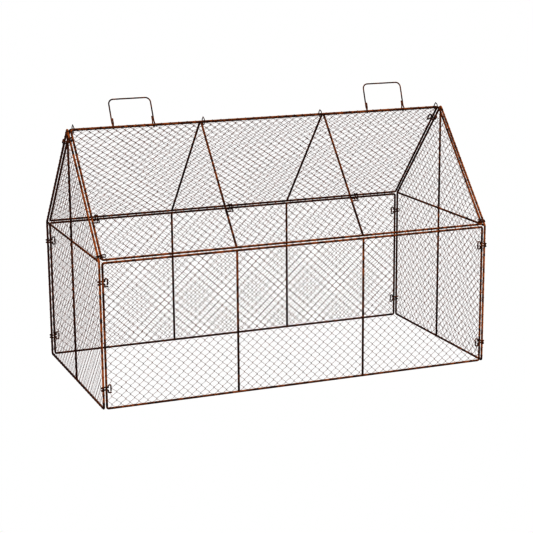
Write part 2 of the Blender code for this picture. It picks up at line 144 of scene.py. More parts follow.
# Chain link.
NET_WIRE = 0.0008
NET_SIDES = 5
SIDE_COLUMNS = 90         # half diamonds along a wall or roof
SIDE_ROWS = {"front_wall": 35, "back_wall": 34, "lid": 36, "back_roof": 36}
END_COLUMNS = 48
END_ROWS = 32             # up to the eave
FROM_LEFT = ("front_wall",)   # nets whose first wire starts at the left of its strip
CORNER_KEEP = 0.0075      # from a frame's corner to the nearest hook on a top or bottom rod
LOW_LAYER = 0.00355       # wires' middles above the rods' axes
HIGH_LAYER = 0.00480
NET_HOOK = 0.0013         # how far a bend reaches past its neighbour's
NET_TURN = 0.0003         # half height of a bend, and how far its crown stands out
ROD_HOOK = 0.00346        # from a rod's axis to the middle of a wire turned round it
ROD_HOOK_STEP = radians(40)
END_SLIDE = 0.0007        # how far a wire's end lies beside its crossing at a rod
TURN_SLIDE = 0.0008       # the same for each half of a turn round a side rod
RAFTER_MARGIN = 0.0048    # from a rafter's axis to where a wire leaves the net
RAFTER_KEEP = (0.006, 0.010)   # lengths without hooks at a rafter's foot and apex

# Turns round rods, in degrees from a rod's near side over its outer face.
SIDE_WRAP = (70, 410)
END_WRAP = (50, 310)
GROUND_WRAPS = {1: (50, 128), -1: (50, -126)}   # by the wire's side, clear of the ground
RAFTER_WRAP = (40, 300)

# How a net differs from an even one.
NET_STRAY = ((0.110, 0.0010), (0.035, 0.0006))   # (size, reach) of its unevenness
STRAY_SEED = 7            # fixes the unevenness, so that each run gives the same nets
STRAY_VARIETY = 1.37      # step between the panels' places in the noise
STRAY_MARGIN = 0.012      # no stray this near a rod, and all of it after the fade
STRAY_FADE = 0.030
NET_SHIFT = {"front_wall": (0.0029, 0.0), "back_wall": (0.0033, 0.0), "lid": (-0.0036, 0.0),
             "right_end": (0.0056, 0.0047)}   # how far its middle sits off even spacing

# Half widths of the stretches of rod that fittings take up. A net's wires keep off them.
CLIP_HAIRPIN = 0.0118
CLIP_HOLD = 0.0155
CATCH_COIL = 0.0100
RING_HOLD = 0.0038
HANDLE_EYE = 0.0062
HANDLE_LEG = 0.0042       # where a handle's leg and tail swing
EYE_INSET = 0.002         # from a handle's leg to the middle of its eye

# Wires that end or turn short of a rod, beside a fitting.
SHORT_STOP = 0.0082       # from the rod to a wire's end
SHORT_SLIDE = 0.0006      # from its crossing to that end, along the rod
SHORT_TURN = 0.0094       # from a wall's or roof's side rod to a turn
END_SHORT_TURN = 0.0108   # the same on the end panels
CATCH_DIP = 0.0016        # how far such a turn is pushed down under a catch's loop

# Rust, with painted light and shade.
BLACKENED = (0.005, 0.002, 0.002)
BROWN = (0.052, 0.014, 0.006)
ORANGE = (0.33, 0.108, 0.028)
UPPER_PAINTED_LIGHT = 0.15         # painted highlight: extra orange on faces that look up
GROUND_SHADE_HEIGHT = 0.045      # height up to which rods are darker, as painted shade near the ground
SPECULAR_LEVEL = 0.05

# Light and view.
FLOOR_REACH = 30.0
VIEW_GAMMA = 0.65
LIGHT_SIZE = 2.0
LIGHT_TARGET = (0, 0, 0.35)

# The photograph's camera, fitted to the corners and bars of a cloche FITTED_LENGTH long. Its
# axis passes a middle, FITTED_MIDDLE above the bottom rods, by the two shifts.
FITTED_LENGTH = 1.2
FITTED_MIDDLE = 0.35
AZIMUTH, ELEVATION, ROLL = -0.3777, 0.2341, -0.0082
CAMERA_DISTANCE = 4.6866
CAMERA_RIGHT, CAMERA_UP = 0.0084, -0.0605
FOCAL_PIXELS = 1534.26
PHOTO_PIXELS = 533
SENSOR_WIDTH = 36.0


def arc(centre, radius, start, end, step, first, second):
    """Points along a circular arc in the plane of the unit vectors first and second."""
    count = max(1, ceil(abs(end - start) / step - STEP_SLACK))
    points = []
    for index in range(count + 1):
        angle = start + (end - start) * index / count
        points.append(centre + radius * (cos(angle) * first + sin(angle) * second))
    return points


def round_corners(points, radius, steps, closed=False):
    """Replace each sharp corner of a path with an arc of the given radius."""
    result = []
    count = len(points)
    for index, corner in enumerate(points):
        if not closed and index in (0, count - 1):
            result.append(corner)
            continue
        before = points[index - 1] - corner
        after = points[(index + 1) % count] - corner
        turn = pi - before.angle(after)
        if turn < SHARP_TURN and not closed:
            result.append(corner)
            continue
        reach = radius * tan(turn / 2)
        limit = ARC_SHARE * min(before.length, after.length)
        bend = radius if reach <= limit else limit / tan(turn / 2)
        reach = min(reach, limit)
        before.normalize()
        after.normalize()
        centre = corner + (before + after).normalized() * bend / cos(turn / 2)
        first = (corner + before * reach - centre).normalized()
        result += arc(centre, bend, 0.0, turn, turn / steps, first, -before)
    return result


class Wires:
    """Round wires gathered into one mesh."""

    def __init__(self):
        self.verts = []
        self.faces = []

    def add(self, path, radius, sides, side=None, closed=False, turn=0.0):
        """Sweep one wire along a path, its rings carried along without twisting."""
        count = len(path)
        start = len(self.verts)
        tangents = []
        for index in range(count):
            before = path[index - 1] if closed or index else path[0]
            after = path[(index + 1) % count] if closed or index < count - 1 else path[-1]
            tangents.append((after - before).normalized())
        side = side or tangents[0].orthogonal().normalized()
        turns = [(cos(2 * pi * k / sides + turn) * radius, sin(2 * pi * k / sides + turn) * radius)
                 for k in range(sides)]
        for point, tangent in zip(path, tangents):
            side = (side - tangent * side.dot(tangent)).normalized()
            other = tangent.cross(side)
            self.verts += [point + side * u + other * v for u, v in turns]
        rings = count if closed else count - 1
        for ring in range(rings):
            low = start + ring * sides
            high = start + (ring + 1) % count * sides
            for k in range(sides):
                after = (k + 1) % sides
                self.faces.append((low + k, low + after, high + after, high + k))
        if not closed:
            self.faces.append(tuple(range(start + sides - 1, start - 1, -1)))
            last = start + (count - 1) * sides
            self.faces.append(tuple(range(last, last + sides)))

    def piece(self, name, body, material, node):
        """Make the wires one object that stands for a node of the model."""
        mesh = bpy.data.meshes.new(name)
        mesh.from_pydata(self.verts, [], self.faces)
        item = add_piece(name, mesh, body, material)
        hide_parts(node)


def add_piece(name, mesh, body, material):
    """Make a smooth object of a mesh and ride it on its body."""
    mesh.polygons.foreach_set("use_smooth", [True] * len(mesh.polygons))
    mesh.materials.append(material)
    item = bpy.data.objects.new(name, mesh)
    bpy.context.scene.collection.objects.link(item)
    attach(item, body)
    return item


def axes(origin, x_axis, y_axis):
    """Matrix of a place given by its origin and its X and Y directions."""
    x_axis = Vector(x_axis).normalized()
    y_axis = Vector(y_axis).normalized()
    turn = Matrix((x_axis, y_axis, x_axis.cross(y_axis))).transposed().to_4x4()
    return Matrix.Translation(origin) @ turn


# Each panel: its place, with X along it, Y up it and Z out of its face.
UP_FRONT = (0, cos(ROOF_SLOPE), sin(ROOF_SLOPE))
UP_BACK = (0, -cos(ROOF_SLOPE), sin(ROOF_SLOPE))
PANELS = {
    "left_end": axes((-LENGTH / 2, 0, BASE), (0, -1, 0), (0, 0, 1)),
    "right_end": axes((LENGTH / 2, 0, BASE), (0, 1, 0), (0, 0, 1)),
    "front_wall": axes((0, -WIDTH / 2, BASE), (1, 0, 0), (0, 0, 1)),
    "back_wall": axes((0, WIDTH / 2, BASE), (-1, 0, 0), (0, 0, 1)),
    "lid": axes((0, -RIDGE_PITCH / 2, RIDGE_ROD_Z), (1, 0, 0), UP_FRONT),
    "back_roof": axes((0, RIDGE_PITCH / 2, RIDGE_ROD_Z), (-1, 0, 0), UP_BACK),
}
# Bottom and top rods of the walls and roofs, as places up the panel.
SIDE_SPANS = {"front_wall": (0.0, WALL_HEIGHT), "back_wall": (0.0, WALL_HEIGHT),
              "lid": (-ROOF_HEIGHT, 0.0), "back_roof": (-ROOF_HEIGHT, 0.0)}
BODIES = {name: "lid" if name == "lid" else "cloche" for name in PANELS}
STRAY_PLACES = {name: STRAY_VARIETY * index for index, name in enumerate(PANELS)}


class Nodes:
    """Short calls for building a material's node tree."""

    def __init__(self, name):
        self.material = bpy.data.materials.new(name)
        self.material.use_nodes = True
        self.tree = self.material.node_tree
        self.shader = self.tree.nodes["Principled BSDF"]
        self.coordinates = self.tree.nodes.new("ShaderNodeTexCoord").outputs

    def feed(self, socket, value):
        """Set a socket to a number or a colour, or link it to an output."""
        if isinstance(value, tuple):
            socket.default_value = (*value, 1.0)
        elif isinstance(value, float):
            socket.default_value = value
        else:
            self.tree.links.new(value, socket)

    def noise(self, scale, detail, roughness):
        node = self.tree.nodes.new("ShaderNodeTexNoise")
        self.feed(node.inputs["Scale"], scale)
        self.feed(node.inputs["Detail"], detail)
        self.feed(node.inputs["Roughness"], roughness)
        self.feed(node.inputs["Vector"], self.coordinates["Object"])
        return node.outputs["Fac"]

    def ramp(self, source, low, high):
        """0 below low, 1 above high, smooth between them."""
        node = self.tree.nodes.new("ShaderNodeMapRange")
        node.interpolation_type = "SMOOTHSTEP"
        self.feed(node.inputs["From Min"], low)
        self.feed(node.inputs["From Max"], high)
        self.feed(node.inputs["Value"], source)
        return node.outputs["Result"]

    def math(self, operation, first, second):
        node = self.tree.nodes.new("ShaderNodeMath")
        node.operation = operation
        self.feed(node.inputs[0], first)
        self.feed(node.inputs[1], second)
        return node.outputs["Value"]

    def mix(self, share, first, second):
        """Mix two colours, through the node's colour sockets 6, 7 and 2."""
        node = self.tree.nodes.new("ShaderNodeMix")
        node.data_type = "RGBA"
        self.feed(node.inputs["Factor"], share)
        self.feed(node.inputs[6], first)
        self.feed(node.inputs[7], second)
        return node.outputs[2]

    def part(self, vector, axis):
        """One part of a vector, by its axis's letter."""
        node = self.tree.nodes.new("ShaderNodeSeparateXYZ")
        self.feed(node.inputs["Vector"], self.coordinates[vector])
        return node.outputs[axis]

    def share_along(self, axis, start, end, first, last):
        """A share that runs from first at one place along an axis to last at another."""
        node = self.tree.nodes.new("ShaderNodeMapRange")
        self.feed(node.inputs["From Min"], start)
        self.feed(node.inputs["From Max"], end)
        self.feed(node.inputs["To Min"], first)
        self.feed(node.inputs["To Max"], last)
        self.feed(node.inputs["Value"], self.part("Object", axis))
        return node.outputs["Result"]

    def finish(self, colour, roughness, grain, bump, depth):
        """Feed the shader, with a bump from the grain."""
        self.feed(self.shader.inputs["Base Color"], colour)
        self.feed(self.shader.inputs["Roughness"], roughness)
        self.feed(self.shader.inputs["Metallic"], 0.0)
        self.feed(self.shader.inputs["Specular IOR Level"], SPECULAR_LEVEL)
        node = self.tree.nodes.new("ShaderNodeBump")
        self.feed(node.inputs["Strength"], bump)
        self.feed(node.inputs["Distance"], depth)
        self.feed(node.inputs["Height"], grain)
        self.feed(self.shader.inputs["Normal"], node.outputs["Normal"])
        return self.material


def rust_and_painted_light_material(name, dark, brown, orange, back, front, ground_shade=0.0):
    """Steel under brown rust, with dark stretches and streaks of fresh orange rust.

    The last three say how much more orange shows at the back, at the front and near the ground.
    They paint light and shade: less orange at the back as painted shade, more at the front as
    painted light, and less near the ground as painted shade. Faces that look up get a painted
    highlight.
    """
    nodes = Nodes(name)
    patches = nodes.noise(scale=82.0, detail=4.0, roughness=0.6)
    grain = nodes.noise(scale=420.0, detail=3.0, roughness=0.65)
    stain = nodes.noise(scale=120.0, detail=3.0, roughness=0.6)
    base = nodes.mix(nodes.ramp(stain, low=0.38, high=0.66), dark, brown)
    # Painted highlight: more orange on faces that look up.
    facing = nodes.math("MULTIPLY", nodes.part("Normal", "Z"), UPPER_PAINTED_LIGHT)
    # Painted light and shade: more orange towards the front, less towards the back.
    depth = nodes.share_along("Y", WIDTH / 2, -WIDTH / 2, back, front)
    # Painted shade: less orange near the ground.
    height = nodes.share_along("Z", ROD_DIAMETER, GROUND_SHADE_HEIGHT, ground_shade, 0.0)
    speckle = nodes.math("MULTIPLY", nodes.math("SUBTRACT", grain, 0.5), 0.5)
    level = patches
    for extra in (depth, facing, height, speckle):
        level = nodes.math("ADD", level, extra)
    # The orange share mixes real rust patches with the painted light and shade added above.
    orange_share = nodes.ramp(level, low=0.40, high=0.66)
    colour = nodes.mix(orange_share, base, orange)
    roughness = nodes.math("ADD", nodes.math("MULTIPLY", orange_share, 0.25), 0.55)   # to 0.8
    return nodes.finish(colour, roughness, grain, bump=0.35, depth=0.00025)


def net_material(name, dark, dull, bright):
    """Thin dull wire, grey-brown with darker stretches and bright grains."""
    nodes = Nodes(name)
    stain = nodes.noise(scale=60.0, detail=4.0, roughness=0.6)
    grain = nodes.noise(scale=500.0, detail=2.0, roughness=0.55)
    colour = nodes.mix(nodes.ramp(stain, low=0.35, high=0.65), dark, dull)
    colour = nodes.mix(nodes.ramp(grain, low=0.55, high=0.72), colour, bright)
    return nodes.finish(colour, 0.7, grain, bump=0.25, depth=0.0001)


# The back and front shares paint shade at the back and light at the front; the ground share paints
# shade near the ground.
RODS = rust_and_painted_light_material("rod_rust", dark=BLACKENED, brown=BROWN, orange=ORANGE,
                     back=-0.12, front=-0.01, ground_shade=-0.05)
# End rods get more painted light at the front and more painted shade at the back and near the
# ground.
END_RODS = rust_and_painted_light_material("end_rod_rust", dark=BLACKENED, brown=BROWN,
                         orange=(0.36, 0.118, 0.030), back=-0.18, front=0.06, ground_shade=-0.15)
BARS = rust_and_painted_light_material("bar_rust", dark=BLACKENED, brown=(0.046, 0.012, 0.005), orange=ORANGE,
                     back=-0.14, front=-0.06)
FITTINGS = rust_and_painted_light_material("fitting_rust", dark=(0.008, 0.003, 0.002),
                         brown=(0.036, 0.011, 0.006), orange=(0.20, 0.055, 0.015),
                         back=-0.12, front=-0.07)
HANDLES = rust_and_painted_light_material("handle_rust", dark=BLACKENED, brown=(0.026, 0.008, 0.005),
                        orange=(0.24, 0.075, 0.025), back=-0.08, front=-0.06)
NETS = net_material("net_wire", dark=(0.040, 0.009, 0.005), dull=(0.170, 0.050, 0.028),
                    bright=(0.30, 0.095, 0.035))


def in_panel(panel, points):
    """Points of a panel's own plane moved to the panel's place."""
    matrix = PANELS[panel]
    return [matrix @ Vector(point) for point in points]


def panel_normal(panel):
    """Direction out of a panel's face."""
    return PANELS[panel].to_3x3() @ Vector((0, 0, 1))


def frame_corners(panel):
    """Corners of a panel's frame in the panel's own plane."""
    if panel in SIDE_SPANS:
        low, high = SIDE_SPANS[panel]
        half = PANEL_LENGTH / 2
        return [(-half, low), (half, low), (half, high), (-half, high)]
    half = WIDTH / 2
    return [(-half, 0), (half, 0), (half, EAVE_HEIGHT), (0, RIDGE_HEIGHT), (-half, EAVE_HEIGHT)]


def woven(panel, path):
    """A net wire's path, strayed a little as a woven net is, and true beside the rods."""
    corners = [Vector(corner) for corner in frame_corners(panel)]
    next_corners = corners[1:] + corners[:1]
    edges = [(start, (end - start).normalized()) for start, end in zip(corners, next_corners)]
    shift = Vector((*NET_SHIFT.get(panel, (0, 0)), 0))
    strayed = []
    for point in path:
        flat = Vector((point.x, point.y))
        nearest = min(abs((flat - start).cross(along)) for start, along in edges)
        share = min(1.0, max(0.0, (nearest - STRAY_MARGIN) / STRAY_FADE))
        spot = Vector((point.x, point.y, STRAY_PLACES[panel]))
        drift = shift.copy()
        for size, reach in NET_STRAY:
            drift += reach * noise.noise_vector(spot / size)
        strayed.append(point + share * Vector((drift.x, drift.y, 0)))
    return strayed


def make_rod_frame(panel):
    """Round rod frame of one panel."""
    path = [Vector((x, y, 0)) for x, y in frame_corners(panel)]
    path = in_panel(panel, round_corners(path, CORNER_RADIUS, ROD_BEND_STEPS, closed=True))
    wires = Wires()
    wires.add(path, ROUND_RADIUS, ROUND_SIDES, side=panel_normal(panel), closed=True,
              turn=pi / ROUND_SIDES)
    material = RODS if panel in SIDE_SPANS else END_RODS
    wires.piece(f"{panel}_rod", BODIES[panel], material, f"{panel}_frame")


def panel_bars(panel):
    """Ends of a panel's bars in the panel's own plane."""
    if panel not in SIDE_SPANS:
        half = WIDTH / 2
        return {"crossbar": ((-half, EAVE_HEIGHT), (half, EAVE_HEIGHT)),
                "lower_bar": ((0, 0), (0, EAVE_HEIGHT)),
                "upper_bar": ((0, EAVE_HEIGHT), (0, RIDGE_HEIGHT - APEX_INSET))}
    low, high = SIDE_SPANS[panel]
    facing = PANELS[panel].to_3x3() @ Vector((1, 0, 0))
    bars = {}
    for index in range(1, PANEL_BAYS):
        x = index * PANEL_LENGTH / PANEL_BAYS - PANEL_LENGTH / 2
        number = index if facing.x > 0 else PANEL_BAYS - index
        bars[f"bar_{number}"] = ((x, low), (x, high))
    return bars


def make_rod_bars(panel):
    """Round bars of one panel, run into the frame's rods where they are welded."""
    for name, (start, end) in panel_bars(panel).items():
        inset = (Vector(end) - Vector(start)).normalized() * BAR_INSET
        ends = [Vector((*(Vector(start) + inset), 0)), Vector((*(Vector(end) - inset), 0))]
        wires = Wires()
        wires.add(in_panel(panel, ends), ROUND_RADIUS, ROUND_SIDES, side=panel_normal(panel),
                  turn=pi / ROUND_SIDES)
        wires.piece(f"{panel}_{name}_rod", BODIES[panel], BARS, f"{panel}_{name}")


def make_welds(panel):
    """Lumpy beads of weld at both ends of a panel's bars."""
    beads = bmesh.new()
    for start, end in panel_bars(panel).values():
        along = (Vector(end) - Vector(start)).normalized()
        turn = Matrix.Rotation(atan2(along.y, along.x), 4, "Z")
        for foot, inward in ((Vector(start), along), (Vector(end), -along)):
            centre = Vector((*(foot + inward * WELD_INSET), 0))
            place = Matrix.Translation(centre) @ turn
            bead = bmesh.ops.create_icosphere(beads, subdivisions=2, radius=1.0)
            for vert in bead["verts"]:
                spot = vert.co * WELD_LUMP_SCALE + centre * WELD_VARIETY
                lump = 1.0 + WELD_LUMP * noise.noise(spot)
                vert.co = place @ (Vector(WELD_SIZE) * lump * vert.co)
    bmesh.ops.transform(beads, matrix=PANELS[panel], verts=beads.verts)
    mesh = bpy.data.meshes.new(f"{panel}_welds")
    beads.to_mesh(mesh)
    beads.free()
    add_piece(f"{panel}_welds", mesh, BODIES[panel], BARS)


def clip_leg(side, pitch):
    """One leg of a clip, from its wrap round the carrying rod to the end of the tab's arm."""
    x_dir, y_dir = Vector((1, 0, 0)), Vector((0, 1, 0))
    leg = Vector((0, 0, side * CLIP_LEG_GAP / 2))
    arm_z = side * CLIP_HEIGHT / 2
    latched = Vector((pitch, 0, 0)) + leg
    wrap_end = radians(-270)
    points = arc(leg, CLIP_RADIUS, wrap_end + CLIP_WRAP, wrap_end, WRAP_STEP, x_dir, y_dir)
    points += arc(latched, CLIP_RADIUS, radians(90), 0.0, LATCH_STEP, x_dir, y_dir)
    root_x = pitch + CLIP_RADIUS
    points.append(Vector((root_x, -CLIP_DROP, leg.z)))
    points.append(Vector((root_x, -CLIP_DROP, arm_z)))
    points.append(Vector((root_x + CLIP_TAB, CLIP_TAB * tan(CLIP_TAB_TILT) - CLIP_DROP, arm_z)))
    return points


def make_clip(name, origin, latched, tab_side):
    """Snap clip: hairpin round its own rod, two legs over the next rod and a finger tab."""
    across = Vector(latched) - Vector(origin)
    upper, lower = clip_leg(1, across.length), clip_leg(-1, across.length)
    end = Vector((upper[-1].x, upper[-1].y, lower[-1].z + CLIP_WIRE + 2 * CLEARANCE))
    lower[-1].x += CLIP_WIRE / 2
    path = round_corners(list(reversed(lower)) + upper + [end], CLIP_BEND, CLIP_BEND_STEPS)
    place = axes(origin, across, tab_side)
    wires = Wires()
    wires.add([place @ point for point in path], CLIP_WIRE / 2, WIRE_SIDES)
    wires.piece(f"{name}_wire", name, FITTINGS, name)


def catch_leg(side, pitch):
    """One leg of a lid catch: loop arm, one turn round the lid's rod, hook over the rafter."""
    x_dir, y_dir = Vector((1, 0, 0)), Vector((0, 1, 0))
    arm_z = side * CATCH_LOOP_WIDTH / 2
    coil_pitch = -side * (CATCH_WIRE + CLEARANCE)
    start = radians(90) + CATCH_LOOP_TILT
    turn = arc(Vector((0, 0, arm_z)), CATCH_RADIUS, start, radians(-270), WRAP_STEP, x_dir, y_dir)
    away = Vector((-cos(CATCH_LOOP_TILT), sin(CATCH_LOOP_TILT), 0))
    points = [turn[0] + CATCH_LOOP_LENGTH * away]
    for index, point in enumerate(turn):
        point.z += coil_pitch * index / (len(turn) - 1)
    points += turn
    rafter = Vector((pitch, 0, arm_z + coil_pitch))
    points += arc(rafter, CATCH_RADIUS, radians(90), -CATCH_GRIP, WRAP_STEP, x_dir, y_dir)
    return points


def make_catch(name, origin, rafter, outward):
    """Spring catch wound on the lid's side rod, with a finger loop lying on the lid."""
    across = Vector(rafter) - Vector(origin)
    path = list(reversed(catch_leg(-1, across.length))) + catch_leg(1, across.length)
    path = round_corners(path, CATCH_BEND, CATCH_BEND_STEPS)
    place = axes(origin, across, outward)
    wires = Wires()
    wires.add([place @ point for point in path], CATCH_WIRE / 2, WIRE_SIDES)
    wires.piece(f"{name}_wire", name, FITTINGS, name)


def make_ring(name, x):
    """Open ring round both ridge rods, with one end turned up."""
    y_dir, z_dir = Vector((0, 1, 0)), Vector((0, 0, 1))
    wire = ROD_RADIUS + CLEARANCE + RING_WIRE / 2
    radius = hypot(RIDGE_PITCH / 2, RING_RISE) + wire
    start = radians(90) + RING_GAP / 2
    centre = Vector((x, 0, RIDGE_ROD_Z + RING_RISE))
    points = arc(centre, radius, start, start + 2 * pi - RING_GAP, RING_STEP, y_dir, z_dir)
    points.append(points[-1] + z_dir * RING_TAIL)
    wires = Wires()
    wires.add(points, RING_WIRE / 2, WIRE_SIDES)
    wires.piece(f"{name}_wire", "cloche", FITTINGS, name)


def handle_foot(side):
    """Eye of a handle, from the neck round the rod and back up along the leg."""
    y_dir, z_dir = Vector((0, 1, 0)), Vector((0, 0, 1))
    radius = ROD_RADIUS + CLEARANCE + HANDLE_WIRE / 2
    tangent = atan2(radius, sqrt(HANDLE_NECK ** 2 - radius ** 2))
    shift = HANDLE_WIRE + CLEARANCE
    eye = arc(Vector(), radius, pi - tangent, 2 * pi + tangent, EYE_STEP, y_dir, z_dir)
    for index, point in enumerate(eye):
        point.x -= side * shift * index / (len(eye) - 1)
    neck = Vector((0, 0, HANDLE_NECK))
    tail_neck = neck - Vector((side * shift, 0, 0))
    points = [neck] + eye + [tail_neck, tail_neck + z_dir * HANDLE_TAIL]
    for point in points:
        point.x += side * HANDLE_WIDTH / 2
    return points


def make_handle(name, x, lean):
    """Bail handle: one wire with an eye round the ridge's back rod at each foot."""
    left, right = handle_foot(-1), handle_foot(1)
    top = [Vector((side * HANDLE_WIDTH / 2, 0, HANDLE_HEIGHT)) for side in (-1, 1)]
    grip = round_corners([left[0], *top, right[0]], HANDLE_BEND, HANDLE_BEND_STEPS)
    path = list(reversed(left))[:-1] + grip + right[1:]
    place = Matrix.Translation((x, RIDGE_PITCH / 2, RIDGE_ROD_Z)) @ Matrix.Rotation(-lean, 4, "X")
    wires = Wires()
    wires.add([place @ point for point in path], HANDLE_WIRE / 2, ROUND_SIDES)
    wires.piece(f"{name}_wire", name, HANDLES, name)


def foot_on(line, direction, point):
    """Foot of the perpendicular from a point to a line."""
    return line + (point - line).project(direction)


def add_fittings():
    """Clips, catches, rings and handles, each along its solid's path."""
    heights = {"low": BASE + LOW_CLIP_HEIGHT, "high": BASE + EAVE_HEIGHT - HIGH_CLIP_DROP}
    for end, side in (("left", -1), ("right", 1)):
        for wall, face in (("front", -1), ("back", 1)):
            for level, height in heights.items():
                origin = (side * LENGTH / 2, face * WIDTH / 2, height)
                latched = (side * PANEL_LENGTH / 2, face * WIDTH / 2, height)
                make_clip(f"clip_{wall}_{end}_{level}", origin, latched, (0, -face, 0))
    y = ROOF_START * cos(ROOF_SLOPE)
    z = ROOF_START * sin(ROOF_SLOPE)
    for name, share in (("left", -0.5), ("middle", 0.0), ("right", 0.5)):
        x = share * EAVE_CLIP_SPREAD
        roof_rod = Vector((x, WIDTH / 2 - y, BASE + EAVE_HEIGHT + z))
        wall_rod = Vector((x, WIDTH / 2, BASE + WALL_HEIGHT))
        down = wall_rod - roof_rod
        make_clip(f"clip_eave_{name}", roof_rod, wall_rod, (0, down.z, -down.y))
    back_rafter = Vector((0, cos(SLOPE), -sin(SLOPE)))
    back_roof = Vector((0, cos(ROOF_SLOPE), -sin(ROOF_SLOPE)))
    front_rafter = Vector((0, cos(SLOPE), sin(SLOPE)))
    lid = Vector(UP_FRONT)
    for name, side in (("left", -1), ("right", 1)):
        apex = Vector((side * LENGTH / 2, 0, BASE + RIDGE_HEIGHT))
        ridge = Vector((side * PANEL_LENGTH / 2, RIDGE_PITCH / 2, RIDGE_ROD_Z))
        origin = apex + back_rafter * APEX_CLIP_DROP
        latched = foot_on(ridge, back_roof, origin)
        make_clip(f"clip_apex_{name}", origin, latched,
                  side * (latched - origin).cross(back_rafter))
        corner = Vector((side * LENGTH / 2, -WIDTH / 2, BASE + EAVE_HEIGHT))
        origin = corner - Vector((side * PANEL_PITCH, 0, 0)) + lid * CATCH_RISE
        hooked = foot_on(corner, front_rafter, origin)
        make_catch(f"lid_catch_{name}", origin, hooked, side * (hooked - origin).cross(lid))
    near_end = LENGTH / 2 - RING_END_INSET
    near_bar = BAR_X - RING_BAR_INSET
    for number, x in enumerate((-near_end, -near_bar, near_bar, near_end), 1):
        make_ring(f"ridge_ring_{number}", x)
    make_handle("handle_left", *LEFT_HANDLE)
    make_handle("handle_right", *RIGHT_HANDLE)


# Stretches of rod that fittings hold, as (place along the rod, half width).
CLIP_PLACES = [LOW_CLIP_HEIGHT, EAVE_HEIGHT - HIGH_CLIP_DROP]
EAVE_PLACES = [-EAVE_CLIP_SPREAD / 2, 0.0, EAVE_CLIP_SPREAD / 2]
RINGS = [side * x for side in (-1, 1)
         for x in (LENGTH / 2 - RING_END_INSET, BAR_X - RING_BAR_INSET)]
EYES = [x + side * (HANDLE_WIDTH / 2 - EYE_INSET)
        for x, _ in (LEFT_HANDLE, RIGHT_HANDLE) for side in (-1, 1)]
HELD = {
    ("front_wall", "sides"): [(y, CLIP_HOLD) for y in CLIP_PLACES],
    ("back_wall", "sides"): [(y, CLIP_HOLD) for y in CLIP_PLACES],
    ("back_wall", "top"): [(x, CLIP_HOLD) for x in EAVE_PLACES],
    ("back_roof", "bottom"): [(x, CLIP_HAIRPIN) for x in EAVE_PLACES],
    ("back_roof", "sides"): [(-APEX_CLIP_DROP, CLIP_HOLD)],
    ("back_roof", "top"): [(-x, RING_HOLD) for x in RINGS] + [(-x, HANDLE_EYE) for x in EYES],
    ("lid", "sides"): [(CATCH_RISE - ROOF_START - ROOF_HEIGHT, CATCH_COIL)],
    ("lid", "top"): [(x, RING_HOLD) for x in RINGS] + [(x, HANDLE_EYE) for x in EYES],
    ("end", "sides"): [(y, CLIP_HAIRPIN) for y in CLIP_PLACES],
    ("end", "back_rafter"): [(RAFTER_LENGTH - APEX_CLIP_DROP, CLIP_HAIRPIN)],
    ("end", "front_rafter"): [(CATCH_RISE, CATCH_COIL)],
}


def held(panel, rod, at):
    """Whether a fitting holds this place on a panel's rod."""
    kind = panel if panel in SIDE_SPANS else "end"
    return any(abs(at - place) < half for place, half in HELD.get((kind, rod), []))


def under_handle(start, end):
    """Whether a handle's leg swings down across this stretch beside the ridge's back rod."""
    low, high = sorted((start, end))
    return any(low - HANDLE_LEG < -eye < high + HANDLE_LEG for eye in EYES)


def around(centre, along, beyond, slides, wrap):
    """A wire's path round a rod. The slides are how far along the rod its two ends lie."""
    start, end = (radians(angle) for angle in wrap)
    count = max(2, ceil(abs(end - start) / ROD_HOOK_STEP))
    points = []
    for index in range(count + 1):
        share = index / count
        angle = start + (end - start) * share
        slide = slides[0] + (slides[1] - slides[0]) * share
        flat = centre - beyond * ROD_HOOK * cos(angle) + along * slide
        points.append(Vector((flat.x, flat.y, ROD_HOOK * sin(angle))))
    return points


def bend_between(x, y, side):
    """A bend hooked into the next wire's, at a crossing of the net."""
    first, last = (HIGH_LAYER, LOW_LAYER) if side > 0 else (LOW_LAYER, HIGH_LAYER)
    reach = x + side * NET_HOOK
    return [Vector((reach, y - NET_TURN, first)),
            Vector((reach + side * NET_TURN, y, (first + last) / 2)),
            Vector((reach, y + NET_TURN, last))]


def side_turn(panel, x, y, side):
    """A net wire's turn at a side rod: once round it, or a plain bend short of a fitting."""
    if not held(panel, "sides", y):
        slides = (-TURN_SLIDE, TURN_SLIDE)
        return around(Vector((x, y)), Vector((0, 1)), Vector((side, 0)), slides, SIDE_WRAP)
    inset = SHORT_TURN if panel in SIDE_SPANS else END_SHORT_TURN
    bend = bend_between(x - side * inset, y, side)
    if panel == "lid":
        for point in bend:
            point.z -= CATCH_DIP
    return bend


def end_hook(panel, rod, x, y, side):
    """A net wire's end at a top or bottom rod, as a hook round it."""
    beyond = Vector((0, -1 if rod == "bottom" else 1))
    centre = Vector((x, y))
    if held(panel, rod, x):
        stop = centre - beyond * SHORT_STOP
        layer = LOW_LAYER if side > 0 else HIGH_LAYER
        return [Vector((stop.x - side * SHORT_SLIDE, stop.y, layer))]
    on_ground = rod == "bottom" and panel not in ("lid", "back_roof")
    wrap = GROUND_WRAPS[side] if on_ground else END_WRAP
    slide = -side * END_SLIDE
    return around(centre, Vector((1, 0)), beyond, (slide, slide), wrap)


def crossing(column, row, columns, length):
    """A wire's place along a row, its side of its strip, and whether the net ends there."""
    side = -1 if (column + row) % 2 else 1
    index = column if side < 0 else column + 1
    return (index / columns - 0.5) * length, side, index in (0, columns)


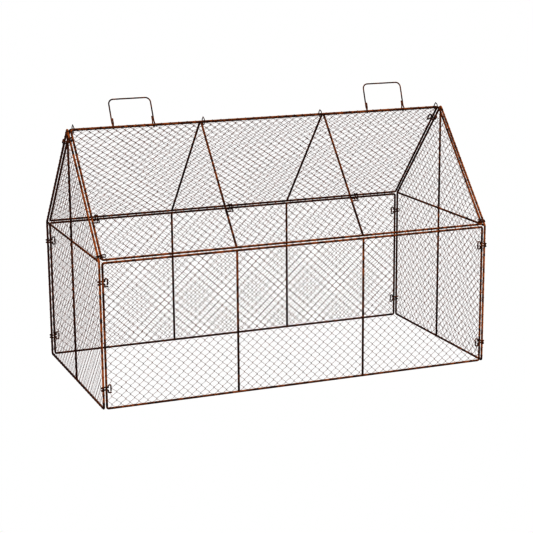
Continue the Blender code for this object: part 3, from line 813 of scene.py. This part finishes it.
def make_side_net(panel):
    """Chain-link net of a wall or roof."""
    rows = SIDE_ROWS[panel]
    reach = PANEL_LENGTH / 2 - CORNER_KEEP
    low, high = SIDE_SPANS[panel]
    first_row = 1 if panel in FROM_LEFT else 0
    wires = Wires()
    for column in range(SIDE_COLUMNS):
        path = []
        for row in range(rows + 1):
            x, side, outermost = crossing(column, row + first_row, SIDE_COLUMNS, PANEL_LENGTH)
            y = low + (high - low) * row / rows
            if row in (0, rows):
                x = max(-reach, min(reach, x))
            if row == 0:
                path += reversed(end_hook(panel, "bottom", x, y, side))
            elif row == rows:
                if panel != "back_roof" or not under_handle(path[-1].x, x):
                    path += end_hook(panel, "top", x, y, side)
            elif outermost:
                path += side_turn(panel, x, y, side)
            else:
                path += bend_between(x, y, side)
        wires.add(in_panel(panel, woven(panel, path)), NET_WIRE / 2, NET_SIDES)
    wires.piece(f"{panel}_chain_net", BODIES[panel], NETS, f"{panel}_net")


def rafter_hook(panel, point):
    """A net wire's end at a rafter, as a hook round it."""
    side = -1 if point.x < 0 else 1
    along = Vector((-side * WIDTH / 2, RIDGE_HEIGHT - EAVE_HEIGHT)).normalized()
    beyond = Vector((side * along.y, abs(along.x)))
    corner = Vector((side * WIDTH / 2, EAVE_HEIGHT))
    place = (point - corner).dot(along)
    to_back = side if panel == "right_end" else -side
    rod = "back_rafter" if to_back > 0 else "front_rafter"
    foot, apex = RAFTER_KEEP
    if held(panel, rod, place) or place < foot or place > RAFTER_LENGTH - apex:
        return []
    centre = corner + along * place
    return around(centre, along, beyond, (0.0, 0.0), RAFTER_WRAP)


def below_rafter(point):
    """How far a point of an end's plane lies below the net's edge along the rafters."""
    edge = EAVE_HEIGHT + (WIDTH / 2 - abs(point.x)) * tan(SLOPE) - RAFTER_MARGIN / cos(SLOPE)
    return edge - point.y


def end_wire(panel, column):
    """Path of one wire of an end's net, from its bottom rod up to a rafter."""
    path = []
    previous = None
    for row in range(END_ROWS * 2):
        x, side, outermost = crossing(column, row, END_COLUMNS, WIDTH)
        point = Vector((x, row * EAVE_HEIGHT / END_ROWS))
        if row == 0:
            path += reversed(end_hook(panel, "bottom", x, 0.0, side))
        elif below_rafter(point) < 0:
            before, after = below_rafter(previous), below_rafter(point)
            stop = previous.lerp(point, before / (before - after))
            path.append(Vector((stop.x, stop.y, HIGH_LAYER if side > 0 else LOW_LAYER)))
            path += rafter_hook(panel, stop)
            break
        elif outermost:
            path += side_turn(panel, x, point.y, side)
        else:
            path += bend_between(x, point.y, side)
        previous = point
    return path


def make_end_net(panel):
    """Chain-link net of a gabled end, its wires hooked round the rafters."""
    wires = Wires()
    for column in range(END_COLUMNS):
        path = in_panel(panel, woven(panel, end_wire(panel, column)))
        wires.add(path, NET_WIRE / 2, NET_SIDES)
    wires.piece(f"{panel}_chain_net", BODIES[panel], NETS, f"{panel}_net")


def add_stage():
    """A white floor under soft light all round."""
    mesh = bpy.data.meshes.new("floor")
    corners = [(x * FLOOR_REACH, y * FLOOR_REACH, 0)
               for x, y in ((-1, -1), (1, -1), (1, 1), (-1, 1))]
    mesh.from_pydata(corners, [], [(0, 1, 2, 3)])
    floor = bpy.data.objects.new("floor", mesh)
    bpy.context.scene.collection.objects.link(floor)
    material = bpy.data.materials.new("floor_white")
    material.use_nodes = True
    shader = material.node_tree.nodes["Principled BSDF"]
    shader.inputs["Base Color"].default_value = (0, 0, 0, 1)
    shader.inputs["Specular IOR Level"].default_value = 0.0
    shader.inputs["Emission Color"].default_value = (1, 1, 1, 1)
    shader.inputs["Emission Strength"].default_value = 1.0
    mesh.materials.append(material)
    world = bpy.data.worlds.new("studio")
    world.use_nodes = True
    world.node_tree.nodes["Background"].inputs["Color"].default_value = (1, 1, 1, 1)
    world.node_tree.nodes["Background"].inputs["Strength"].default_value = 1.0
    bpy.context.scene.world = world
    bpy.context.scene.view_settings.view_transform = "Standard"
    bpy.context.scene.view_settings.gamma = VIEW_GAMMA


def add_light(name, place, power):
    """A square soft light."""
    data = bpy.data.lights.new(name, "AREA")
    data.size = LIGHT_SIZE
    data.energy = power
    light = bpy.data.objects.new(name, data)
    light.location = place
    light.rotation_mode = "QUATERNION"
    aim = Vector(LIGHT_TARGET) - Vector(place)
    light.rotation_quaternion = aim.to_track_quat("-Z", "Y")
    bpy.context.scene.collection.objects.link(light)


def add_camera():
    """Camera that sees the cloche as the photograph does."""
    scale = LENGTH / FITTED_LENGTH
    flat = cos(ELEVATION)
    back = Vector((sin(AZIMUTH) * flat, -cos(AZIMUTH) * flat, sin(ELEVATION)))
    right = Vector((cos(AZIMUTH), sin(AZIMUTH), 0))
    up = back.cross(right)
    x_axis = right * cos(ROLL) + up * sin(ROLL)
    y_axis = up * cos(ROLL) - right * sin(ROLL)
    place = (Vector((0, 0, FITTED_MIDDLE)) + x_axis * CAMERA_RIGHT + y_axis * CAMERA_UP
             + back * CAMERA_DISTANCE)
    data = bpy.data.cameras.new("camera")
    data.sensor_width = SENSOR_WIDTH
    data.lens = FOCAL_PIXELS / PHOTO_PIXELS * SENSOR_WIDTH
    camera = bpy.data.objects.new("camera", data)
    bpy.context.scene.collection.objects.link(camera)
    turn = Matrix((x_axis, y_axis, back)).transposed().to_4x4()
    camera.matrix_world = Matrix.Translation(place * scale + Vector((0, 0, BASE))) @ turn
    bpy.context.scene.camera = camera


noise.seed_set(STRAY_SEED)
for panel in PANELS:
    make_rod_frame(panel)
    make_rod_bars(panel)
    make_welds(panel)
    if panel in SIDE_SPANS:
        make_side_net(panel)
    else:
        make_end_net(panel)
add_fittings()
add_stage()
add_light("key", place=(-2.2, -3.0, 2.6), power=60)
add_light("fill", place=(2.8, -2.4, 1.8), power=25)
add_camera()
